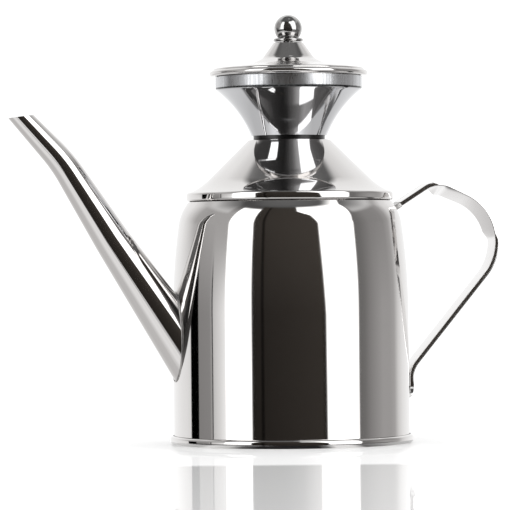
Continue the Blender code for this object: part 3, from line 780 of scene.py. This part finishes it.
def spout_loft(growth, reach_in, past_lip):
    """Closed round tapered tube along the spout's centre line, its radius grown all over."""
    form = settings().spout
    root, neck, bend, lip, way = spout_corners()
    start = root - way[0] * reach_in
    end = lip + way[2] * past_lip
    path = rounded([(*start, 0), (*neck, form.bend_round), (*bend, form.bend_round), (*end, 0)])
    bm = bmesh.new()
    ring = None
    side = Vector((0, 1, 0))
    for index, point in enumerate(path):
        ahead = way_at(path, index)
        turn = Matrix((side.cross(ahead), side, ahead)).transposed().to_4x4()
        place = Matrix.Translation((point.x, 0, point.y)) @ turn
        radius = spout_radius_at(point) + growth
        if ring is None:
            made = bmesh.ops.create_circle(bm, cap_ends=True, segments=form.sides, radius=radius,
                                           matrix=place)
            ring = made["verts"]
        else:
            ring = next_ring(bm, ring)
            move = place @ Matrix.Scale(radius / last_radius, 4) @ last_place.inverted()
            bmesh.ops.transform(bm, matrix=move, verts=ring)
        last_place, last_radius = place, radius
    close_ends(bm)
    return bm


def make_spout_tube():
    form, gap = settings().spout, settings().sheet.gap
    blank = spout_loft(0, form.reach_in, form.tip_width)
    lip = spout_corners()[3]
    bmesh.ops.bisect_plane(blank, geom=blank.verts[:] + blank.edges[:] + blank.faces[:],
                           plane_co=(lip.x, 0, lip.y),
                           plane_no=(-math.sin(form.lip_tilt), 0, math.cos(form.lip_tilt)),
                           clear_outer=True)
    close_ends(blank)
    bore = closed_mesh(spout_loft(-form.sheet, BORE_OVERRUN * form.reach_in, form.tip_width))
    mesh = carved(closed_mesh(blank), bore, wall_core(gap))
    piece("spout_tube_shell", mesh, "outside_polish", "vessel", "spout_tube")


HALVINGS = 24  # steps that find where the tube's side meets the wall


def make_spout_fillet():
    """Solder run round the root, along the line where the tube meets the wall."""
    form = settings().spout
    root, _, _, _, way = spout_corners()
    up = Vector((way[0].y, -way[0].x))
    curve = bpy.data.curves.new("solder_line", "CURVE")
    curve.dimensions = "3D"
    curve.bevel_depth = form.fillet
    curve.bevel_resolution = 3
    spline = curve.splines.new("POLY")
    spline.points.add(2 * form.sides - 1)
    spline.use_cyclic_u = True
    for index, knot in enumerate(spline.points):
        turn = math.pi * index / form.sides
        low, high = -form.reach_in, form.reach_in
        for _ in range(HALVINGS):
            middle = (low + high) / 2
            centre = root + way[0] * middle
            radius = spout_radius_at(centre) + form.fillet / 2
            across = up * (radius * math.cos(turn))
            spot = Vector((centre.x + across.x, radius * math.sin(turn), centre.y + across.y))
            inside = math.hypot(spot.x, spot.y) < wall_radius_at(spot.z) + form.fillet / 2
            low, high = (middle, high) if inside else (low, middle)
        knot.co = (*spot, 1.0)
    run = placed("solder_line", curve)
    mesh = finished_mesh(run)
    bpy.data.objects.remove(run)
    mesh.shade_smooth()
    piece("spout_solder_fillet", mesh, "dressed_joint", "vessel", "spout_solder_seam")


# Handle

def strip_path():
    """Centre line of the strip in the XZ plane, from the foot of its tab to the top weld."""
    form, gap = settings().handle, settings().sheet.gap
    tab = WALL_RADIUS + gap + form.thickness / 2
    top = MOUTH - form.top_fall
    wall = Vector((wall_radius_at(top), top))
    crown = Vector((wall.x + form.crown_out, MOUTH + form.crown_lift))
    outer = STRIP_OUTSIDE - form.thickness / 2
    ahead = (wall - crown).normalized()
    end = wall - ahead * (form.weld_length + 2 * gap + form.thickness / 2)
    path = rounded([
        (tab, TAB_BOTTOM, 0),
        (tab, TAB_BOTTOM + form.tab_rise, form.tab_bend),
        (outer, MOUTH - form.low_fall, form.bow_round),
        (outer, MOUTH - form.high_fall, form.bow_round),
        (*crown, form.crown_round),
        (*end, 0),
    ])
    return path, end, ahead


def prism(section, width):
    """Section in the XZ plane, extruded along Y to both sides of the middle plane."""
    bm = bmesh.new()
    verts = [bm.verts.new((point.x, -width / 2, point.y)) for point in section]
    face = bm.faces.new(verts)
    moved = new_verts(bmesh.ops.extrude_face_region(bm, geom=[face]))
    bmesh.ops.translate(bm, vec=(0, width, 0), verts=moved)
    bmesh.ops.recalc_face_normals(bm, faces=bm.faces)
    return bm


def soften(bm, edges, offset, segments):
    bmesh.ops.bevel(bm, geom=edges, offset=offset, offset_type="OFFSET", segments=segments, profile=0.5,
                    affect="EDGES", material=-1, clamp_overlap=True)


def strip_section():
    """Section of the strip with its long edges rounded, as (across, outwards) pairs round the middle."""
    form = settings().handle
    wide, half, edge = STRIP_HALF_WIDTH - form.edge, form.thickness / 2 - form.edge, form.edge
    section = []
    for corner, (side, out) in enumerate([(1, 1), (-1, 1), (-1, -1), (1, -1)]):
        for step in range(7):
            turn = math.pi / 2 * (corner + step / 6)
            section.append(Vector((side * wide + edge * math.cos(turn), out * half + edge * math.sin(turn))))
    return section


def spread(points, step):
    """The line through points, with more points so that none are farther apart than a step."""
    filled = [points[0]]
    for low, high in zip(points, points[1:]):
        parts = max(1, math.ceil((high - low).length / step))
        filled += [low.lerp(high, part / parts) for part in range(1, parts + 1)]
    return filled


def eased(share):
    """0 up to a share of 0 and 1 from a share of 1, with a soft step between."""
    held = min(max(share, 0.0), 1.0)
    return held * held * (3 - 2 * held)


def strip_twists(path):
    """Turn of the strip about its near edge at each point, from its outermost point to its crown."""
    form = settings().handle
    runs = [0.0]
    for low, high in zip(path, path[1:]):
        runs.append(runs[-1] + (high - low).length)
    outermost = runs[max(range(len(path)), key=lambda index: path[index].x)]
    crown = runs[max(range(len(path)), key=lambda index: path[index].y)]
    growth = (form.twist_high - form.twist_low) / (crown - outermost)
    return [(form.twist_low + growth * (run - outermost)) * eased((run - outermost) / form.twist_run)
            * eased((crown - run) / form.twist_run + 1) for run in runs]


def make_handle_strip():
    form = settings().handle
    path, _, _ = strip_path()
    corner = form.tab_corner
    ends = [Vector((path[0].x, path[0].y + corner * (1 - math.cos(step * math.pi / 24))))
            for step in range(1, 12)]
    path = [path[0]] + ends + spread([point for point in path if point.y > TAB_BOTTOM + corner], 0.001)
    bm = bmesh.new()
    ring = [bm.verts.new((across, outwards, 0)) for across, outwards in strip_section()]
    bm.faces.new(ring)
    last = Matrix.Identity(4)
    near = Vector((STRIP_HALF_WIDTH, 0, 0))
    side = Vector((0, -1, 0))
    for index, (point, twist) in enumerate(zip(path, strip_twists(path))):
        ahead = way_at(path, index)
        turn = Matrix((side, ahead.cross(side), ahead)).transposed().to_4x4()
        rise = min(point.y - path[0].y, corner) if index < len(path) / 2 else corner
        width = STRIP_HALF_WIDTH - corner + math.sqrt(max(corner ** 2 - (corner - rise) ** 2, 0))
        place = Matrix.Translation((point.x, 0, point.y)) @ turn
        if index:
            ring = next_ring(bm, ring)
        shrink = (Matrix.Translation(near) @ Matrix.Rotation(twist, 4, "Z") @ Matrix.Translation(-near)
                  @ Matrix.Diagonal((width / STRIP_HALF_WIDTH, 1, 1, 1)))
        bmesh.ops.transform(bm, matrix=place @ shrink @ last.inverted(), verts=ring)
        last = place @ shrink
    close_ends(bm)
    piece("strip_handle", closed_mesh(bm, 50.0), "strip_polish", "vessel", "handle_strip")


def make_handle_welds():
    form, gap = settings().handle, settings().sheet.gap
    _, end, ahead = strip_path()
    across = Vector((-ahead.y, ahead.x)) * (form.thickness / 2 + gap / 2)
    near = end + ahead * gap
    far = end + ahead * (form.weld_length + 3 * form.thickness)
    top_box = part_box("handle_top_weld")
    bm = prism([near - across, near + across, far + across, far - across], top_box[1].y - top_box[0].y)
    soften(bm, bm.edges[:], gap, 3)
    top = carved(closed_mesh(bm), wall_core(gap))
    piece("upper_weld", top, "dressed_joint", "vessel", "handle_top_weld")

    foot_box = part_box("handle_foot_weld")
    inner = WALL_RADIUS + gap / 2
    outer = WALL_RADIUS + gap + form.thickness
    high = TAB_BOTTOM - gap
    low = high - form.foot_drop
    section = [Vector((inner - form.thickness, high)), Vector((inner - form.thickness, low)),
               Vector((inner + gap, low)), Vector((outer, high - gap)), Vector((outer, high))]
    bm = prism(section, foot_box[1].y - foot_box[0].y)
    soften(bm, bm.edges[:], gap / 2, 3)
    foot = carved(closed_mesh(bm), wall_core(gap))
    piece("foot_weld", foot, "dressed_joint", "vessel", "handle_foot_weld")


# Stage

BACKDROP = (1.2, 1.2, 1.2, 1.0)
ROOM_TINT = (1.0, 0.86, 0.74, 1.0)
LIGHT_BOX = (2.1, 2.1, 2.1, 1.0)
SIDE_GLOW = (0.8, 0.8, 0.8, 1.0)
TWICE_MIRRORED = 2.5  # the ray depth that parts what is mirrored once from what is mirrored twice

# Tones of the painted contact shade along the table's foot line, by their place across the body in wall radii
CONTACT_SHADE_TONES = [
    (-1.1, 0.70), (-0.80, 0.50), (-0.72, 0.80), (-0.55, 0.60), (-0.44, 0.13), (-0.30, 0.02), (0.22, 0.02),
    (0.30, 0.20), (0.37, 0.85), (0.52, 0.80), (0.62, 0.14), (0.74, 0.28), (0.85, 0.45), (1.1, 0.60),
]

# Tones of the tent by azimuth: level with the body, above it, down on the table, and the echo's two
LEVEL_TONES = [
    (-180, 1.05), (-150, 1.0), (-122, 0.90), (-113, 0.80), (-102, 0.26), (-86, 0.28), (-82, 0.66),
    (-74, 0.85), (-68, 1.05), (-60, 1.2), (68, 0.16), (76, 0.19), (84, 0.275), (92, 0.34), (100, 0.40),
    (112, 0.40), (120, 0.45), (128, 0.75), (138, 0.92), (150, 1.0), (180, 1.05),
]
RAISED_TONES = [
    (-180, 1.05), (-145, 0.95), (-132, 0.75), (-118, 0.46), (-105, 0.42), (-90, 0.44), (-60, 0.44),
    (68, 0.16), (76, 0.19), (90, 0.27), (112, 0.30), (122, 0.40), (134, 0.80), (148, 0.95), (180, 1.05),
]
TABLE_TONES = [
    (-180, 1.10), (-170, 0.95), (-160, 0.84), (-150, 0.74), (-120, 0.60), (-80, 0.62), (-55, 0.92),
    (-40, 0.88), (-28, 0.92), (0, 0.9), (38, 1.0), (55, 0.72), (80, 0.58), (120, 0.60), (160, 0.84),
    (180, 1.10),
]
ECHO_TONES = [
    (-180, 1.10), (-160, 0.95), (-148, 0.80), (-137, 0.20), (-128, 0.10), (-105, 0.06), (-64, 0.06),
    (-36, 0.035), (-16, 0.018), (-5, 0.05), (10, 0.17), (22, 0.45), (29, 0.60), (72, 0.20), (80, 0.14),
    (104, 0.10), (122, 0.10), (132, 0.50), (142, 0.85), (160, 1.05), (180, 1.10),
]
ECHO_LOW_TONES = [
    (-180, 1.0), (-150, 0.70), (-132, 0.60), (-122, 0.35), (-108, 0.20), (-90, 0.25), (-75, 0.15),
    (-60, 0.10), (-45, 0.04), (-20, 0.02), (-6, 0.03), (10, 0.12), (30, 0.22), (45, 0.45), (62, 0.38),
    (76, 0.14), (100, 0.14), (115, 0.30), (135, 0.80), (180, 1.0),
]


def light_world():
    """White for the camera and for matt surfaces; the metal sees a tent round a dark front.

    Azimuths and elevations are in degrees, from the camera's direction, positive to its right and up. Where
    one piece mirrors another the tent is seen from close between them, and its echo stands in for that.
    """
    world = bpy.data.worlds.new("studio_tent")
    bpy.context.scene.world = world
    graph = new_graph(world)
    smooth, between, window, blend = graph.smooth, graph.between, graph.window, graph.blend
    turned = graph.add("ShaderNodeVectorRotate", {"rotation_type": "Z_AXIS"}, {
        "Vector": graph.add("ShaderNodeTexCoord", output="Generated"), "Angle": -settings().stage.azimuth})
    right, away, up = graph.axes(turned)
    azimuth = right.math("ARCTAN2", right, away * -1.0) * (180 / math.pi)
    elevation = up.math("ARCSINE", up) * (180 / math.pi)
    sideways = right.math("ARCTAN2", right, up) * (180 / math.pi)
    spread_out = abs(azimuth)

    def tones(stops):
        colours = [((degrees + 180) / 360, (tone, tone * (0.965 + 0.035 * tone), tone * (0.95 + 0.05 * tone)))
                   for degrees, tone in stops]
        return graph.add("ShaderNodeValToRGB", {"stops": colours}, {"Fac": azimuth * (1 / 360) + 0.5})

    # Sides, with two dark lines left of the front, and the table below
    tent = blend(smooth(elevation, -4, 14), tones(LEVEL_TONES), tones(RAISED_TONES))
    level = 1.0 - smooth(elevation, 3, 9)
    tent = blend(window(azimuth, -115.5, -102.5, 0.5) * level, tent, BLACK)
    tent = blend(window(azimuth, -83.8, -82.4, 0.4) * level * 0.95, tent, BLACK)
    tent = blend(smooth(elevation, -7, -14), tent, tones(TABLE_TONES))

    # Glow high on both sides, under a dark top
    glow = smooth(elevation, 32, 40) * window(spread_out, 78, 128, 4) * 0.7
    tent = blend(glow, tent, SIDE_GLOW)
    top = smooth(elevation, 34, 58) * (1.0 - smooth(spread_out, 102, 120))
    tent = blend(top * 0.82, tent, BLACK)

    # Dark table edge in front, dark floor under it and a dark streak down to the right
    bottom = between(azimuth, -40, -5, -17, -26)
    above_bottom = smooth(elevation - bottom, -1.5, 1.5)
    edge = above_bottom * smooth(elevation, -4, -8) * (1.0 - smooth(spread_out, 100, 122))
    tent = blend(edge * between(azimuth, -30, 40, 0.93, 0.65), tent, BLACK)
    tent = blend(smooth(elevation, -47, -51) * 0.9, tent, BLACK)
    streak = window(azimuth + elevation * 1.75, 54, 74, 4) * window(elevation, -49, -21, 2)
    tent = blend(streak * 0.93, tent, BLACK)

    # Dark room between two light boxes
    left_box = window(azimuth, -67, -39, 1.2) * smooth(elevation, -4.4, -3.4) * smooth(elevation, 53, 47)
    tent = blend(left_box, tent, LIGHT_BOX)
    room = blend(between(elevation, -3, 16, 0.028, 0.05) + azimuth * 0.0003, BLACK, ROOM_TINT)
    inner = between(elevation, -3, 35, 35, 23) - between(elevation, 35, 46, 0, 14)
    tent = blend(window(azimuth, -39, inner, 1.2) * above_bottom, tent, room)
    dark_line = window(azimuth, -29.5, -26.5, 1.2) * 0.7
    edge_line = window(azimuth, inner - 4, inner, 2) * smooth(elevation, 2, -2) * 0.4
    tent = blend(dark_line + edge_line, tent, BLACK)
    outer = between(elevation, 20, 50, 68.5, 78)
    right_box = window(azimuth, inner, outer, 1.5) * window(elevation, -7, 62, 1.5)
    tent = blend(right_box, tent, LIGHT_BOX)

    # Ceiling
    overhead = (1.0 - smooth(abs(sideways - 2.0), 20, 44)) * smooth(elevation, 53, 61)
    lamp = window(azimuth, 20, 120, 8) * smooth(elevation, 77, 82) * 0.35
    tent = blend(overhead, tent, blend(between(elevation, 50, 68, 0.05, 0.15) + lamp, BLACK, WHITE))

    # Echo for what is mirrored twice, apart from the body mirrored in the table
    echo = blend(smooth(elevation, -9, -14), tones(ECHO_TONES), tones(ECHO_LOW_TONES))
    echo = blend(smooth(elevation, -28, -34), echo, tones(TABLE_TONES))
    left_echo = window(azimuth, -63, -37, 1.5) * window(elevation, 5, 29, 1.5)
    right_echo = window(azimuth, 29, outer, 1.5) * window(elevation, -13, 62, 1.5)
    echo = blend(left_echo + right_echo, echo, LIGHT_BOX)
    echo = blend(smooth(elevation, 30, 38), echo, tent)
    body_in_table = window(elevation, 2.8, 4.7, 0.2) * (1.0 - window(azimuth, -12, 34, 2))
    path = graph.add("ShaderNodeLightPath", output="Is Glossy Ray")
    depth = Signal(graph, path.socket.node.outputs["Ray Depth"])
    again = smooth(depth, TWICE_MIRRORED - 0.1, TWICE_MIRRORED + 0.1) * (1.0 - body_in_table)
    tent = blend(again, tent, echo)

    surface = graph.add("ShaderNodeBackground", None, {"Color": blend(path, BACKDROP, tent), "Strength": 1.0})
    graph.add("ShaderNodeOutputWorld", None, {"Surface": surface})


def forward_and_aside(graph):
    """Distances towards the camera and to its right, from the body's axis."""
    azimuth = settings().stage.azimuth
    across, along, _ = graph.axes()
    forward = across * math.sin(azimuth) - along * math.cos(azimuth)
    return forward, across * math.cos(azimuth) + along * math.sin(azimuth)


def staged(name, mesh, material):
    """Object of the stage, not of the dispenser."""
    obj = placed(name, mesh)
    mesh.name = name
    mesh.materials.append(material)
    return obj


def make_table():
    """White glossy table that ends in front of the object."""
    stage = settings().stage
    bm = bmesh.new()
    bmesh.ops.create_grid(bm, x_segments=1, y_segments=1, size=stage.table_reach)
    for vert in bm.verts:
        vert.co.y = stage.table_reach if vert.co.y > 0 else -stage.table_front
    bmesh.ops.rotate(bm, verts=bm.verts, cent=(0, 0, 0), matrix=Matrix.Rotation(stage.azimuth, 3, "Z"))
    material = bpy.data.materials.new("white_table")
    graph = new_graph(material)
    gloss = graph.add("ShaderNodeBsdfGlossy", None, {"Color": WHITE, "Roughness": 0.02})
    matt = graph.add("ShaderNodeBsdfDiffuse", None, {"Color": WHITE})
    fresnel = graph.add("ShaderNodeFresnel", None, {"IOR": 1.33})
    forward, aside = forward_and_aside(graph)
    mirror = graph.between(forward, stage.mist, stage.mist + stage.mist_fade, 0.35, 0.85)
    fade = graph.smooth(abs(aside), stage.mirror_reach, stage.mirror_reach + stage.mirror_fade)
    mixed = graph.add("ShaderNodeMixShader", None, {0: fresnel * (mirror * (1.0 - fade)), 1: matt, 2: gloss})
    graph.add("ShaderNodeOutputMaterial", None, {"Surface": mixed})
    table = staged("table", mesh_of(bm), material)
    table.visible_glossy = False


def make_contact_shade():
    """Ring of painted shade under the table's surface, which only the base's rolled bead mirrors, standing in
    for the shadow where the bead meets the table.
    """
    stage = settings().stage
    bm = bmesh.new()
    verts = [bm.verts.new((radius, 0.0, -stage.ring_depth))
             for radius in (WALL_RADIUS, WALL_RADIUS + stage.ring_width)]
    edge = bm.edges.new(verts)
    bmesh.ops.spin(bm, geom=[*verts, edge], cent=(0, 0, 0), axis=(0, 0, 1), angle=2 * math.pi, steps=64,
                   use_merge=True)
    # Painted shade: the ring's colour darkens the bead's reflection of the table near its foot
    material = bpy.data.materials.new("painted_contact_shade")
    graph = new_graph(material)
    _, aside = forward_and_aside(graph)
    width = CONTACT_SHADE_TONES[-1][0] - CONTACT_SHADE_TONES[0][0]
    stops = [(0.5 + share / width, (tone, tone, tone)) for share, tone in CONTACT_SHADE_TONES]
    shaded = graph.add("ShaderNodeValToRGB", {"stops": stops},
                       {"Fac": aside * (1 / (width * WALL_RADIUS)) + 0.5})
    matt = graph.add("ShaderNodeBsdfDiffuse", None, {"Color": shaded})
    graph.add("ShaderNodeOutputMaterial", None, {"Surface": matt})
    shade = staged("contact_shade", mesh_of(bm), material)
    shade.visible_camera = False
    shade.visible_diffuse = False
    shade.visible_shadow = False


def make_lamp():
    """Large soft lamp overhead that lights the table and doesn't show in the metal."""
    stage = settings().stage
    data = bpy.data.lights.new("overhead_lamp", "AREA")
    data.shape = "DISK"
    data.size = stage.lamp_width
    data.energy = stage.lamp_power
    lamp = placed("overhead_lamp", data)
    lamp.location = (0, 0, stage.lamp_height)
    lamp.visible_glossy = False
    lamp.visible_camera = False


def make_camera():
    stage = settings().stage
    right = Vector((math.cos(stage.azimuth), math.sin(stage.azimuth), 0))
    back = Vector((math.sin(stage.azimuth), -math.cos(stage.azimuth), 0))
    up = Vector((0, 0, 1))
    data = bpy.data.cameras.new("camera")
    data.sensor_width = 36.0
    data.lens = stage.lens
    data.clip_start = 0.05
    data.clip_end = 50.0
    camera = placed("camera", data)
    turn = Matrix((right, up, back)).transposed().to_4x4()
    place = back * stage.distance - right * stage.aside + up * stage.height
    camera.matrix_world = Matrix.Translation(place) @ turn @ Matrix.Rotation(-stage.roll, 4, "Z")
    bpy.context.scene.camera = camera


class MakeBody(bpy.types.Operator):
    """Make the bottom pan and the body wall"""
    bl_idname = "dispenser.make_body"
    bl_label = "Body"

    def execute(self, context):
        make_bottom_pan()
        make_wall()
        return {"FINISHED"}


class MakeShoulder(bpy.types.Operator):
    """Make the shoulder, the neck tube and the filling funnel"""
    bl_idname = "dispenser.make_shoulder"
    bl_label = "Shoulder and funnel"

    def execute(self, context):
        make_shoulder()
        make_sleeve()
        make_funnel()
        return {"FINISHED"}


class MakeSpout(bpy.types.Operator):
    """Make the spout and the solder round its root"""
    bl_idname = "dispenser.make_spout"
    bl_label = "Spout"

    def execute(self, context):
        make_spout_tube()
        make_spout_fillet()
        return {"FINISHED"}


class MakeHandle(bpy.types.Operator):
    """Make the strip handle and its welds"""
    bl_idname = "dispenser.make_handle"
    bl_label = "Handle"

    def execute(self, context):
        make_handle_strip()
        make_handle_welds()
        return {"FINISHED"}


class MakeLid(bpy.types.Operator):
    """Make the lid, its ring, the knob and its screw"""
    bl_idname = "dispenser.make_lid"
    bl_label = "Lid"

    def execute(self, context):
        make_lid_shell()
        make_lid_ring()
        make_knob()
        make_washer()
        make_screw()
        return {"FINISHED"}


class MakeStage(bpy.types.Operator):
    """Make the table, the light and the camera"""
    bl_idname = "dispenser.make_stage"
    bl_label = "Stage"

    def execute(self, context):
        light_world()
        make_table()
        make_contact_shade()
        make_lamp()
        make_camera()
        context.scene.view_settings.view_transform = "Standard"
        return {"FINISHED"}


OPERATORS = [MakeBody, MakeShoulder, MakeSpout, MakeHandle, MakeLid, MakeStage]


class DispenserPanel(bpy.types.Panel):
    bl_idname = "VIEW3D_PT_oil_dispenser"
    bl_label = "Oil dispenser"
    bl_space_type = "VIEW_3D"
    bl_region_type = "UI"
    bl_category = "Oil dispenser"

    def draw(self, context):
        for operator in OPERATORS:
            self.layout.operator(operator.bl_idname)


CLASSES = [SheetSettings, BodySettings, ShoulderSettings, FunnelSettings, LidSettings, KnobSettings,
           SpoutSettings, HandleSettings, FinishSettings, StageSettings, DispenserSettings, *OPERATORS,
           DispenserPanel]


def register():
    for item in CLASSES:
        bpy.utils.register_class(item)
    bpy.types.Scene.oil_dispenser = PointerProperty(type=DispenserSettings)


def unregister():
    del bpy.types.Scene.oil_dispenser
    for item in reversed(CLASSES):
        bpy.utils.unregister_class(item)


def main():
    register()
    bpy.ops.dispenser.make_body()
    bpy.ops.dispenser.make_shoulder()
    bpy.ops.dispenser.make_spout()
    bpy.ops.dispenser.make_handle()
    bpy.ops.dispenser.make_lid()
    bpy.ops.dispenser.make_stage()


if __name__ == "__main__":
    main()
